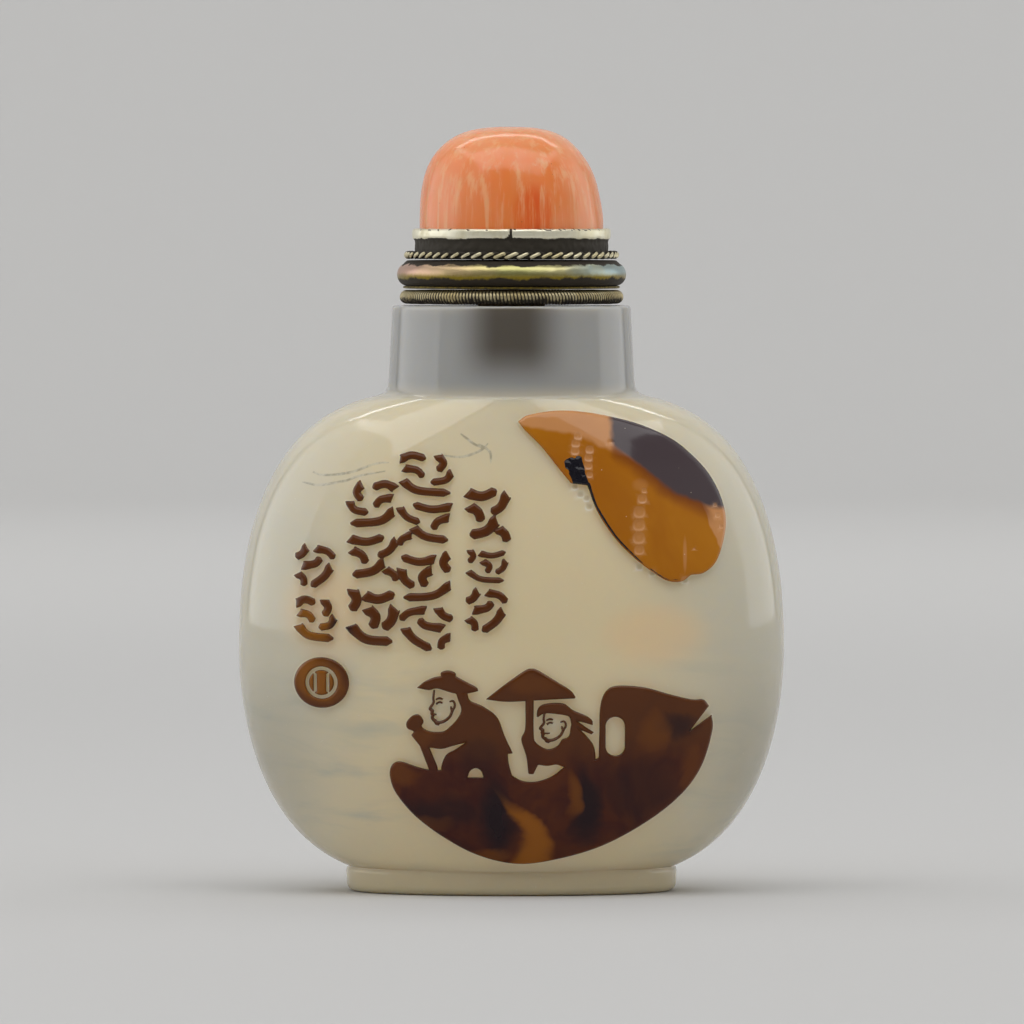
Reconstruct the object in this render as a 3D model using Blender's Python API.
"""Flattened agate snuff bottle carved in low relief, closed by a coral stopper in a metal collar.

Metres, +Z up. The carved face looks towards -Y. The origin is on the standing surface, under the
middle of the foot.
"""

from math import cos, pi, radians, sin

import bmesh
import bpy
from mathutils import Vector

mm = 0.001

# Driving sizes of the stone
HALF_WIDTH = 24.0 * mm
HALF_DEPTH = 14.7 * mm
BELLY_HEIGHT = 21.55 * mm
SHOULDER_RISE = 22.7 * mm
BASE_DROP = 20.8 * mm
BOTTLE_HEIGHT = 51.5 * mm
NECK_BASE_RADIUS = 10.85 * mm
NECK_RIM_RADIUS = 10.5 * mm
NECK_BASE_HEIGHT = 44.5 * mm
FOOT_HALF_WIDTH = 14.5 * mm
FOOT_HALF_DEPTH = 9.6 * mm
FOOT_HEIGHT = 2.2 * mm
FOOT_RIM_WIDTH = 2.2 * mm
FOOT_RECESS = 0.7 * mm
BORE_RADIUS = 3.05 * mm
SIDE_WALL = 4.4 * mm
FACE_WALL = 3.8 * mm
RELIEF_HEIGHT = 0.5 * mm
STROKE_HEIGHT = 0.35 * mm

# Driving sizes of the stopper
SEAT_GAP = 0.1 * mm
COIL_RADIUS = 9.86 * mm
COIL_THICKNESS = 1.26 * mm
COLLAR_RADIUS = 10.1 * mm
ROPE_RADIUS = 9.46 * mm
ROPE_THICKNESS = 0.72 * mm
ROPE_TURNS = 28
BEZEL_RADIUS = 8.75 * mm
BEZEL_WALL = 0.55 * mm
CORAL_RADIUS = 8.1 * mm
CORAL_TOP = 67.2 * mm
CORAL_DOME = 9.2 * mm
CORK_RADIUS = 2.95 * mm
CORK_REACH = 6.0 * mm

STONE_SEGMENTS = 44
HOLLOW_SEGMENTS = 24
METAL_SEGMENTS = 32
BODY_STEPS = 8


def clear_scene():
    for old in list(bpy.data.objects):
        bpy.data.objects.remove(old)


def material(name, colour, roughness, metallic=0.0):
    made = bpy.data.materials.new(name)
    made.use_nodes = True
    shader = made.node_tree.nodes["Principled BSDF"]
    shader.inputs["Base Color"].default_value = (*colour, 1.0)
    shader.inputs["Roughness"].default_value = roughness
    shader.inputs["Metallic"].default_value = metallic
    return made


def add_object(name, mesh, finish=None):
    made = bpy.data.objects.new(name, mesh)
    bpy.context.scene.collection.objects.link(made)
    if finish:
        mesh.materials.append(finish)
    return made


def as_helper(obj):
    """A guide or a cutter: drawn as wires and left out of the model."""
    obj.hide_render = True
    obj.display_type = "WIRE"
    return obj


# Round and oval forms, made as a stack of rings


def ring(bm, z, half_width, half_depth, exponent, segments, dip=0.0):
    """Corners of one superellipse. Its front and back sit lower than its sides by dip."""
    corners = []
    for i in range(segments):
        angle = 2 * pi * i / segments
        across, along = cos(angle), sin(angle)
        x = half_width * abs(across) ** (2 / exponent) * (1 if across >= 0 else -1)
        y = half_depth * abs(along) ** (2 / exponent) * (1 if along >= 0 else -1)
        corners.append(bm.verts.new((x, y, z - dip * along * along)))
    return corners


def loft(name, rings, segments, finish=None):
    """Closed solid through rings of (z, half width, half depth, exponent, dip), bottom cap first."""
    bm = bmesh.new()
    loops = [ring(bm, z, a, b, k, segments, dip) for z, a, b, k, dip in rings]
    bm.faces.new(reversed(loops[0]))
    for low, high in zip(loops, loops[1:]):
        for i in range(segments):
            j = (i + 1) % segments
            bm.faces.new((low[i], low[j], high[j], high[i]))
    bm.faces.new(loops[-1])
    bmesh.ops.recalc_face_normals(bm, faces=bm.faces)
    mesh = bpy.data.meshes.new(name)
    bm.to_mesh(mesh)
    bm.free()
    mesh.shade_smooth()
    mesh.set_sharp_from_angle(angle=radians(35))
    return add_object(name, mesh, finish)


def round_rings(profile):
    """Rings of a turned form from its (radius, height) profile."""
    return [(z, radius, radius, 2.0, 0.0) for radius, z in profile]


def shrink(share, power, root):
    """Half size of a superellipse outline at a share of its height, as a share of its widest."""
    return max(0.0, 1 - share**power) ** (1 / root)


def body_size(z):
    """(half width, half depth) of the body at a height."""
    side_rise, face_rise = SHOULDER_RISE, 33.5 * mm
    side_drop, face_drop = BASE_DROP, 26.0 * mm
    away = abs(z - BELLY_HEIGHT)
    if z > BELLY_HEIGHT:
        return (
            HALF_WIDTH * shrink(away / side_rise, 2.2, 3.9),
            HALF_DEPTH * shrink(away / face_rise, 2.0, 2.0),
        )
    return (
        HALF_WIDTH * shrink(away / side_drop, 2.0, 3.9),
        HALF_DEPTH * shrink(away / face_drop, 2.0, 2.0),
    )


BELLY_EXPONENT = 2.25
SHOULDER_HEIGHT = 43.4 * mm


def body_rings(count, allowance=0.0):
    """Rings from the foot to the shoulder, closer together where the outline turns."""
    rings = []
    drop = BELLY_HEIGHT - FOOT_HEIGHT
    rise = SHOULDER_HEIGHT - BELLY_HEIGHT
    for i in range(-count, count + 1):
        bend = sin(pi / 2 * i / count)
        z = BELLY_HEIGHT + bend * (drop if i < 0 else rise)
        width, depth = body_size(z)
        exponent = 2 + (BELLY_EXPONENT - 2) * (1 - bend**4)
        rings.append((z, width + allowance, depth + allowance, exponent, 0.0))
    return rings


def bottle_outer():
    corner = 0.7 * mm
    inner_width = FOOT_HALF_WIDTH - corner - FOOT_RIM_WIDTH
    inner_depth = FOOT_HALF_DEPTH - corner - FOOT_RIM_WIDTH
    slope = 0.5 * mm
    foot = [
        (FOOT_RECESS, inner_width - slope, inner_depth - slope, 2.1, 0.0),
        (0.0, inner_width, inner_depth, 2.1, 0.0),
        (0.0, FOOT_HALF_WIDTH - corner, FOOT_HALF_DEPTH - corner, 2.1, 0.0),
        (0.3 * corner, FOOT_HALF_WIDTH - 0.3 * corner, FOOT_HALF_DEPTH - 0.3 * corner, 2.1, 0.0),
        (corner, FOOT_HALF_WIDTH, FOOT_HALF_DEPTH, 2.1, 0.0),
        (FOOT_HEIGHT - 0.1 * mm, FOOT_HALF_WIDTH, FOOT_HALF_DEPTH, 2.1, 0.0),
    ]
    dip = 0.35 * mm
    rim_corner = 0.35 * mm
    neck_fillet = 0.35 * mm
    neck = [
        (43.85 * mm, NECK_BASE_RADIUS + neck_fillet, NECK_BASE_RADIUS + 0.1 * mm, 2.0, dip),
        (NECK_BASE_HEIGHT, NECK_BASE_RADIUS, NECK_BASE_RADIUS, 2.0, 0.5 * dip),
        (BOTTLE_HEIGHT - rim_corner, NECK_RIM_RADIUS, NECK_RIM_RADIUS, 2.0, 0.0),
        (BOTTLE_HEIGHT, NECK_RIM_RADIUS - rim_corner, NECK_RIM_RADIUS - rim_corner, 2.0, 0.0),
    ]
    return foot + body_rings(BODY_STEPS) + neck


def hollow_rings():
    """The space inside: a broad hollow that follows the walls, and the narrow bore up through the neck."""
    half_width = HALF_WIDTH - SIDE_WALL
    half_depth = HALF_DEPTH - FACE_WALL
    drop, rise = 16.2 * mm, 17.4 * mm
    count = 5
    rings = []
    for i in range(-count, count + 1):
        share = sin(pi / 2 * i / count)
        near_end = min(abs(share), 0.985)
        size = shrink(near_end, 2.2, 2.6)
        z = BELLY_HEIGHT + share * (drop if i < 0 else rise)
        if i == count:
            break
        rings.append((z, half_width * size, half_depth * size, 2.2, 0.0))
    bore_start = BELLY_HEIGHT + rise + 0.6 * mm
    past_rim = BOTTLE_HEIGHT + 1.0 * mm
    rings.append((bore_start, BORE_RADIUS, BORE_RADIUS, 2.0, 0.0))
    rings.append((past_rim, BORE_RADIUS, BORE_RADIUS, 2.0, 0.0))
    return rings


# Carving. An outline is a list of (x, z) in mm on the front; a third value, "c", marks a corner.

HULL = [
    (-10.55, 10.5), (-10.5, 11.4), (-10.1, 11.85), (-9.5, 11.9), (-8.3, 11.5), (-7.1, 11.2),
    (-5.9, 11.2, "c"), (-0.2, 11.0, "c"), (0.25, 10.6), (1.1, 10.22), (2.2, 10.2), (3.5, 10.65),
    (4.5, 11.4, "c"), (7.3, 12.1, "c"), (7.6, 12.3, "c"), (7.65, 14.5), (7.72, 16.7), (8.15, 18.0),
    (9.1, 18.55), (11.5, 18.4), (13.8, 17.75), (15.7, 17.28), (16.7, 17.25), (17.2, 16.7, "c"),
    (15.5, 14.5, "c"), (17.45, 15.9, "c"), (17.5, 14.5), (16.6, 11.5), (14.9, 9.05), (12.0, 6.7),
    (8.1, 4.55), (4.2, 3.35), (0.6, 2.88), (-2.8, 3.62), (-5.75, 5.15), (-8.35, 7.1), (-10.02, 9.1),
]
ROBE_WITH_STAFF = [
    (-3.85, 18.0, "c"), (-3.6, 17.3), (-2.5, 16.8), (-1.26, 15.85), (-0.6, 14.2), (0.1, 12.7, "c"),
    (-0.33, 12.65, "c"), (-0.25, 11.8), (0.1, 10.5, "c"), (-5.9, 10.5, "c"), (-6.1, 11.4),
    (-5.7, 12.5), (-4.9, 13.0), (-3.9, 13.68, "c"), (-5.2, 13.32), (-6.1, 13.08), (-7.15, 13.2, "c"),
    (-6.45, 11.5, "c"), (-6.4, 10.8, "c"), (-7.0, 10.8, "c"), (-7.95, 13.3, "c"), (-8.7, 14.25, "c"),
    (-8.45, 14.6, "c"), (-9.05, 14.87), (-9.1, 15.4), (-8.6, 15.95), (-8.05, 16.05), (-7.65, 15.5),
    (-7.8, 15.0), (-7.1, 14.6), (-6.0, 14.58), (-5.4, 14.95), (-4.7, 15.7), (-4.35, 16.5),
    (-4.6, 17.3), (-4.9, 18.2, "c"),
]
KNOBBED_HAT = [
    (-8.2, 18.4, "c"), (-7.55, 18.93), (-6.75, 19.3), (-6.1, 19.42, "c"), (-6.1, 19.75), (-5.5, 19.92),
    (-4.9, 19.72), (-4.85, 19.42, "c"), (-3.7, 18.8), (-3.05, 18.45), (-2.88, 18.15, "c"),
    (-3.8, 17.95), (-5.0, 17.95), (-6.4, 18.35), (-7.2, 18.22),
]
PARASOL = [
    (-2.2, 17.42, "c"), (-0.5, 18.75), (1.15, 19.9), (1.75, 20.08), (2.35, 19.9), (4.16, 18.8),
    (5.15, 18.15), (5.62, 17.5, "c"), (3.6, 17.42), (1.6, 17.3), (-0.5, 17.22),
]
SEATED_ROBE_WITH_POLE = [
    (1.92, 17.5, "c"), (1.92, 14.4), (2.15, 13.6), (3.1, 13.05), (3.95, 13.3), (4.4, 13.9, "c"),
    (5.0, 14.2), (5.2, 15.2), (5.5, 15.6, "c"), (5.9, 14.85), (6.5, 14.2), (7.1, 13.4), (7.3, 12.4),
    (7.2, 11.7, "c"), (5.0, 11.1, "c"), (4.55, 11.5, "c"), (3.9, 11.7), (3.1, 11.6), (2.3, 11.7, "c"),
    (1.9, 10.87, "c"), (1.48, 10.9, "c"), (1.3, 12.4), (0.87, 13.9), (1.2, 14.9), (1.22, 17.5, "c"),
]
RIBBONED_CAP = [
    (2.2, 15.8, "c"), (2.27, 16.5), (2.65, 16.92), (3.5, 17.08), (4.55, 17.02), (5.35, 16.45),
    (6.5, 15.95), (7.0, 15.55), (7.05, 15.15, "c"), (6.3, 15.38), (5.7, 15.52, "c"), (6.4, 15.0),
    (7.15, 14.52, "c"), (6.95, 14.35, "c"), (5.8, 14.85), (5.2, 15.3, "c"), (5.0, 15.9), (4.2, 16.1),
    (2.9, 16.2),
]
OVERHANGING_ROCK = [
    (0.6, 41.5, "c"), (1.5, 42.05), (4.0, 42.42), (6.5, 42.27), (9.0, 41.8), (11.5, 41.08),
    (14.0, 39.9), (15.7, 38.55), (17.2, 36.9), (18.25, 34.9), (18.7, 32.8), (18.35, 30.6),
    (17.7, 29.1), (16.7, 28.3), (15.6, 28.15, "c"), (14.8, 27.6), (13.5, 27.7), (12.0, 28.65),
    (10.6, 29.75), (9.0, 31.4), (7.5, 33.65), (6.6, 36.0, "c"), (5.2, 36.15, "c"), (4.0, 37.6),
    (2.65, 39.3), (1.15, 40.8),
]
DECK_ARCH = [(-3.85, 10.55, "c"), (-2.4, 10.55, "c"), (-2.65, 11.15), (-3.1, 11.4), (-3.6, 11.15)]
WINDOW_CENTRE = (9.02, 14.15)
WINDOW_HALF_WIDTH = 0.85
WINDOW_HALF_HEIGHT = 1.72
SEAL_CENTRE = (-16.55, 18.75)
SEAL_HALF_WIDTH = 2.4
SEAL_HALF_HEIGHT = 2.2
SEAL_SQUARE = 0.55

# Each head: centre, half width, half height, and the arc of its jaw line in degrees from +x
JAW_WIDTH = 0.34
HEADS = [
    ((-5.9, 16.95), 1.32, 1.62, (150, 318)),
    ((3.72, 15.2), 1.36, 1.42, (160, 322)),
]

# Columns of plain brush strokes that form no letters. Each stroke has three points on its middle line
# and a thickness. Its cell is one unit wide and high, from the cell's top left corner. Each column lists
# its x range and its cells' z ranges in mm.
CLUSTERS = [
    [
        ((0.06, 0.10), (0.40, 0.16), (0.72, 0.05), 0.16),
        ((0.95, 0.12), (0.82, 0.34), (0.60, 0.46), 0.15),
        ((0.10, 0.34), (0.30, 0.44), (0.38, 0.62), 0.16),
        ((0.72, 0.58), (0.50, 0.78), (0.12, 0.86), 0.17),
        ((0.74, 0.74), (0.90, 0.84), (0.96, 0.98), 0.15),
    ],
    [
        ((0.12, 0.04), (0.20, 0.22), (0.10, 0.40), 0.16),
        ((0.34, 0.14), (0.62, 0.20), (0.92, 0.10), 0.15),
        ((0.40, 0.36), (0.56, 0.50), (0.50, 0.70), 0.16),
        ((0.92, 0.34), (0.86, 0.56), (0.70, 0.70), 0.16),
        ((0.08, 0.66), (0.38, 0.88), (0.88, 0.92), 0.15),
    ],
    [
        ((0.30, 0.04), (0.20, 0.20), (0.04, 0.28), 0.16),
        ((0.50, 0.08), (0.78, 0.14), (0.94, 0.30), 0.15),
        ((0.20, 0.48), (0.50, 0.42), (0.62, 0.28), 0.16),
        ((0.86, 0.48), (0.70, 0.72), (0.40, 0.94), 0.17),
        ((0.08, 0.66), (0.22, 0.76), (0.24, 0.94), 0.15),
    ],
    [
        ((0.06, 0.16), (0.26, 0.06), (0.50, 0.14), 0.16),
        ((0.70, 0.06), (0.80, 0.24), (0.70, 0.42), 0.16),
        ((0.12, 0.36), (0.34, 0.40), (0.46, 0.56), 0.15),
        ((0.94, 0.44), (0.84, 0.62), (0.58, 0.68), 0.15),
        ((0.10, 0.64), (0.36, 0.86), (0.92, 0.92), 0.17),
    ],
]
COLUMNS = [
    ((-4.1, -0.2), [(35.8, 31.0), (30.5, 27.5), (27.0, 23.1)]),
    ((-10.0, -4.9), [(38.8, 35.0), (34.5, 30.7), (30.2, 25.9), (25.5, 21.5)]),
    ((-14.4, -9.8), [(36.3, 32.3), (31.7, 27.6), (27.1, 22.0)]),
    ((-19.0, -15.2), [(30.7, 26.9), (26.2, 22.3)]),
]
STROKE_TAPER = 0.45


def arc_outline(centre, half_width, half_height, count, start=0.0):
    """Corners round an oval, in mm."""
    turn = [radians(start) + 2 * pi * i / count for i in range(count)]
    return [(centre[0] + half_width * cos(t), centre[1] + half_height * sin(t)) for t in turn]


def slot_outline(centre, half_width, half_height):
    """A slot with round ends, taller than wide."""
    straight = half_height - half_width
    outline = []
    for end, first in ((1, 0), (-1, 180)):
        for degrees in range(first, first + 181, 45):
            x = centre[0] + half_width * cos(radians(degrees))
            z = centre[1] + end * straight + half_width * sin(radians(degrees))
            outline.append((x, z, "c"))
    return outline


def jaw_outline(centre, half_width, half_height, span):
    """A band along part of an oval: the line of the cheek and jaw, which ends in a small beard."""
    steps = 6
    angles = [radians(span[0] + (span[1] - span[0]) * i / steps) for i in range(steps + 1)]
    outer = [(centre[0] + half_width * cos(t), centre[1] + half_height * sin(t), "c") for t in angles]
    inner_width, inner_height = half_width - JAW_WIDTH, half_height - 1.5 * JAW_WIDTH
    inner = [(centre[0] + inner_width * cos(t), centre[1] + inner_height * sin(t), "c") for t in angles]
    return outer + inner[::-1]


def stroke_outline(stroke, column, cell, mirrored):
    """Bent brush stroke in mm: broad where it starts, narrower where it ends."""
    width, height = column[1] - column[0], cell[0] - cell[1]
    *spots, thick = stroke
    line = []
    for across, down in spots:
        share = 1 - across if mirrored else across
        line.append(Vector((column[0] + share * width, cell[0] - down * height)))
    start, middle, end = line
    half = thick * height / 2
    sides = []
    for point, along, share in (
        (start, middle - start, 0.9),
        (middle, end - start, 0.95),
        (end, end - middle, STROKE_TAPER),
    ):
        across = Vector((-along.y, along.x)).normalized() * half * share
        sides.append((point + across, point - across))
    corners = [left for left, right in sides] + [right for left, right in reversed(sides)]
    return [(c.x, c.y, "c") for c in corners]


def smooth_outline(outline, steps):
    """The outline with its smooth stretches rounded: steps pieces from each listed point to the next."""
    points = [Vector(p[:2]) for p in outline]
    corners = [len(p) > 2 for p in outline]
    count = len(points)
    smooth = []
    for i in range(count):
        j = (i + 1) % count
        start, end = points[i], points[j]
        if corners[i] and corners[j]:
            smooth.append(start)
            continue
        leave = end - start if corners[i] else (end - points[i - 1]) / 2
        arrive = end - start if corners[j] else (points[(j + 1) % count] - start) / 2
        for k in range(steps):
            t = k / steps
            smooth.append(
                start * (2 * t**3 - 3 * t**2 + 1)
                + leave * (t**3 - 2 * t**2 + t)
                + end * (3 * t**2 - 2 * t**3)
                + arrive * (t**3 - t**2)
            )
    return smooth


def carving_prism(name, outlines, steps=2):
    """Blocks with these outlines seen from the front, from in front of the body into its wall."""
    front, back = -17.0 * mm, -7.5 * mm
    bm = bmesh.new()
    for outline in outlines:
        flat = smooth_outline(outline, steps)
        near = [bm.verts.new((p.x * mm, front, p.y * mm)) for p in flat]
        far = [bm.verts.new((p.x * mm, back, p.y * mm)) for p in flat]
        bm.faces.new(near)
        bm.faces.new(far[::-1])
        for i in range(len(flat)):
            j = (i + 1) % len(flat)
            bm.faces.new((near[j], near[i], far[i], far[j]))
    bmesh.ops.recalc_face_normals(bm, faces=bm.faces)
    mesh = bpy.data.meshes.new(name)
    bm.to_mesh(mesh)
    bm.free()
    return as_helper(add_object(name, mesh))


def boolean(obj, operation, other, overlapping=False):
    """Adds an exact Boolean. Overlapping says that the object's own blocks may cross each other."""
    modifier = obj.modifiers.new(operation.lower() + "_" + other.name, "BOOLEAN")
    modifier.operation = operation
    modifier.solver = "EXACT"
    modifier.object = other
    modifier.use_self = overlapping
    return obj


def picture_relief():
    """Boat, travellers and overhanging rock, raised above the front by the relief's height."""
    whole = carving_prism("picture", [HULL, OVERHANGING_ROCK])
    raised = [
        ("robe_with_staff", [ROBE_WITH_STAFF]),
        ("knobbed_hat", [KNOBBED_HAT]),
        ("seated_robe_with_pole", [SEATED_ROBE_WITH_POLE]),
        ("parasol", [PARASOL]),
        ("ribboned_cap", [RIBBONED_CAP]),
    ]
    for i, head in enumerate(HEADS):
        raised.append((f"jaw_{i + 1}", [jaw_outline(*head)]))
    for name, outlines in raised:
        boolean(whole, "UNION", carving_prism(name, outlines, steps=1))
    window = slot_outline(WINDOW_CENTRE, WINDOW_HALF_WIDTH, WINDOW_HALF_HEIGHT)
    for name, outline in (("window", window), ("deck_arch", DECK_ARCH)):
        boolean(whole, "DIFFERENCE", carving_prism(name, [outline], steps=1))
    skin = as_helper(loft("picture_skin", body_rings(BODY_STEPS, RELIEF_HEIGHT), STONE_SEGMENTS))
    return boolean(whole, "INTERSECT", skin)


def stroke_relief():
    """Columns of plain brush strokes, and the plain round seal under them."""
    outlines = []
    cells = 0
    for column, column_cells in COLUMNS:
        for cell in column_cells:
            cluster = CLUSTERS[cells % len(CLUSTERS)]
            mirrored = cells // len(CLUSTERS) % 2 == 1
            outlines += [stroke_outline(s, column, cell, mirrored) for s in cluster]
            cells += 1
    outlines.append(arc_outline(SEAL_CENTRE, SEAL_HALF_WIDTH, SEAL_HALF_HEIGHT, 8))
    outlines.append([(x, z, "c") for x, z in arc_outline(SEAL_CENTRE, SEAL_SQUARE, SEAL_SQUARE, 4)])
    whole = carving_prism("strokes", outlines)
    skin = as_helper(loft("strokes_skin", body_rings(BODY_STEPS, STROKE_HEIGHT), STONE_SEGMENTS))
    return boolean(whole, "INTERSECT", skin, overlapping=True)


def make_bottle():
    agate = material("agate", (0.62, 0.58, 0.46), 0.12)
    bottle = loft("bottle", bottle_outer(), STONE_SEGMENTS, agate)
    boolean(bottle, "UNION", picture_relief())
    boolean(bottle, "UNION", stroke_relief())
    boolean(bottle, "DIFFERENCE", as_helper(loft("hollow", hollow_rings(), HOLLOW_SEGMENTS)))


# Stopper


def torus_mesh(name, radius, thickness, sides, finish, height):
    """A plain round ring whose outer edge is at radius."""
    bpy.ops.mesh.primitive_torus_add(
        major_segments=METAL_SEGMENTS,
        minor_segments=sides,
        major_radius=radius - thickness / 2,
        minor_radius=thickness / 2,
        location=(0, 0, height),
    )
    made = bpy.context.object
    made.name = made.data.name = name
    made.data.materials.append(finish)
    made.data.shade_smooth()
    return made


def twisted_wire(name, radius, thickness, turns, finish, height):
    """Two twisted strands bent into a ring: an oblong section that turns as it goes round."""
    steps_a_turn, sides = 6, 4
    steps = turns * steps_a_turn
    half_long, half_short = thickness / 2, thickness / 4
    bm = bmesh.new()
    loops = []
    for i in range(steps):
        around = 2 * pi * i / steps
        twist = 2 * pi * i / steps_a_turn
        outward = Vector((cos(around), sin(around), 0))
        centre = outward * (radius - half_long) + Vector((0, 0, height))
        loop = []
        for j in range(sides):
            t = 2 * pi * j / sides
            along, across = half_long * cos(t), half_short * sin(t)
            out = along * cos(twist) - across * sin(twist)
            up = along * sin(twist) + across * cos(twist)
            loop.append(bm.verts.new(centre + outward * out + Vector((0, 0, up))))
        loops.append(loop)
    for i in range(steps):
        low, high = loops[i], loops[(i + 1) % steps]
        for j in range(sides):
            k = (j + 1) % sides
            bm.faces.new((low[j], low[k], high[j]))
            bm.faces.new((low[k], high[k], high[j]))
    bmesh.ops.recalc_face_normals(bm, faces=bm.faces)
    mesh = bpy.data.meshes.new(name)
    bm.to_mesh(mesh)
    bm.free()
    mesh.shade_smooth()
    return add_object(name, mesh, finish)


def turned(name, profile, finish, segments=METAL_SEGMENTS):
    """Solid of revolution from the (radius, height) profile of its outside, bottom to top."""
    return loft(name, round_rings(profile), segments, finish)


def band(name, inner, outer, low, high, corner, finish):
    """A turned ring with its outer top corner rounded."""
    section = [
        (inner, low),
        (outer, low),
        (outer, high - corner),
        (outer - 0.3 * corner, high - 0.3 * corner),
        (outer - corner, high),
        (inner, high),
    ]
    bm = bmesh.new()
    corners = [bm.verts.new((r, 0, z)) for r, z in section]
    edges = [bm.edges.new((corners[i], corners[(i + 1) % len(corners)])) for i in range(len(corners))]
    bmesh.ops.spin(
        bm,
        geom=corners + edges,
        cent=(0, 0, 0),
        axis=(0, 0, 1),
        angle=2 * pi,
        steps=METAL_SEGMENTS,
        use_merge=True,
    )
    bmesh.ops.remove_doubles(bm, verts=bm.verts, dist=0.0001 * mm)
    bmesh.ops.recalc_face_normals(bm, faces=bm.faces)
    mesh = bpy.data.meshes.new(name)
    bm.to_mesh(mesh)
    bm.free()
    mesh.shade_smooth()
    mesh.set_sharp_from_angle(angle=radians(35))
    return add_object(name, mesh, finish)


def collar_profile(low, high):
    """Thin flange, the round moulding and the plate that the bezel stands on."""
    flange, flange_radius = 0.35 * mm, 9.55 * mm
    bulge_low, bulge_high = low + flange, high - 0.3 * mm
    middle = (bulge_low + bulge_high) / 2
    half = (bulge_high - bulge_low) / 2
    core = COLLAR_RADIUS - half
    profile = [(flange_radius, low), (flange_radius, low + flange)]
    for degrees in (-60, -30, 0, 30, 60):
        t = radians(degrees)
        profile.append((core + half * cos(t), middle + half * sin(t)))
    profile += [(9.35 * mm, bulge_high), (9.25 * mm, high)]
    return profile


def coral_rings(low):
    """Polished cap: a girdle inside the bezel, then a full dome that bulges towards -X halfway up."""
    girdle = CORAL_TOP - CORAL_DOME
    power, count, lean = 2.7, 8, 0.31 * mm
    rings = [(low, CORAL_RADIUS, 0.0)]
    for i in range(count + 1):
        share = min(sin(pi / 2 * i / count), 0.9995)
        size = CORAL_RADIUS * shrink(share, power, power)
        rings.append((girdle + CORAL_DOME * share, size, lean * sin(pi * share**2.4)))
    return rings


def make_coral(low, finish):
    segments = 26
    bm = bmesh.new()
    loops = []
    for z, radius, lean in coral_rings(low):
        loop = ring(bm, z, radius, radius, 2.0, segments)
        for corner in loop:
            corner.co.x -= lean
        loops.append(loop)
    bm.faces.new(reversed(loops[0]))
    for under, over in zip(loops, loops[1:]):
        for i in range(segments):
            j = (i + 1) % segments
            bm.faces.new((under[i], under[j], over[j], over[i]))
    bm.faces.new(loops[-1])
    bmesh.ops.recalc_face_normals(bm, faces=bm.faces)
    mesh = bpy.data.meshes.new("coral_cap")
    bm.to_mesh(mesh)
    bm.free()
    mesh.shade_smooth()
    mesh.set_sharp_from_angle(angle=radians(50))
    return add_object("coral_cap", mesh, finish)


def make_stopper():
    metal = material("gilt_metal", (0.45, 0.36, 0.16), 0.35, 1.0)
    coral = material("coral", (0.78, 0.27, 0.12), 0.18)
    cork = material("cork", (0.42, 0.27, 0.14), 0.9)

    coil_low = BOTTLE_HEIGHT + SEAT_GAP
    torus_mesh("coiled_wire_ring", COIL_RADIUS, COIL_THICKNESS, 8, metal, coil_low + COIL_THICKNESS / 2)

    collar_low = coil_low + COIL_THICKNESS + SEAT_GAP
    collar_high = collar_low + 2.5 * mm
    turned("collar", collar_profile(collar_low, collar_high), metal)

    rope_height = collar_high + SEAT_GAP + ROPE_THICKNESS / 2
    twisted_wire("twisted_wire_ring", ROPE_RADIUS, ROPE_THICKNESS, ROPE_TURNS, metal, rope_height)

    bezel_low = collar_high + SEAT_GAP
    bezel_high = bezel_low + 2.7 * mm
    bezel_inner = BEZEL_RADIUS - BEZEL_WALL
    bezel_outer = ROPE_RADIUS - ROPE_THICKNESS - SEAT_GAP
    band("bezel", bezel_inner, bezel_outer, bezel_low, bezel_high, 0.4 * mm, metal)

    make_coral(bezel_low, coral)

    cork_top = collar_low - SEAT_GAP
    cork_low = BOTTLE_HEIGHT - CORK_REACH
    chamfer = 0.3 * mm
    cork_profile = [
        (CORK_RADIUS - chamfer, cork_low),
        (CORK_RADIUS, cork_low + chamfer),
        (CORK_RADIUS, cork_top),
    ]
    turned("cork", cork_profile, cork, 20)


clear_scene()
make_bottle()
make_stopper()
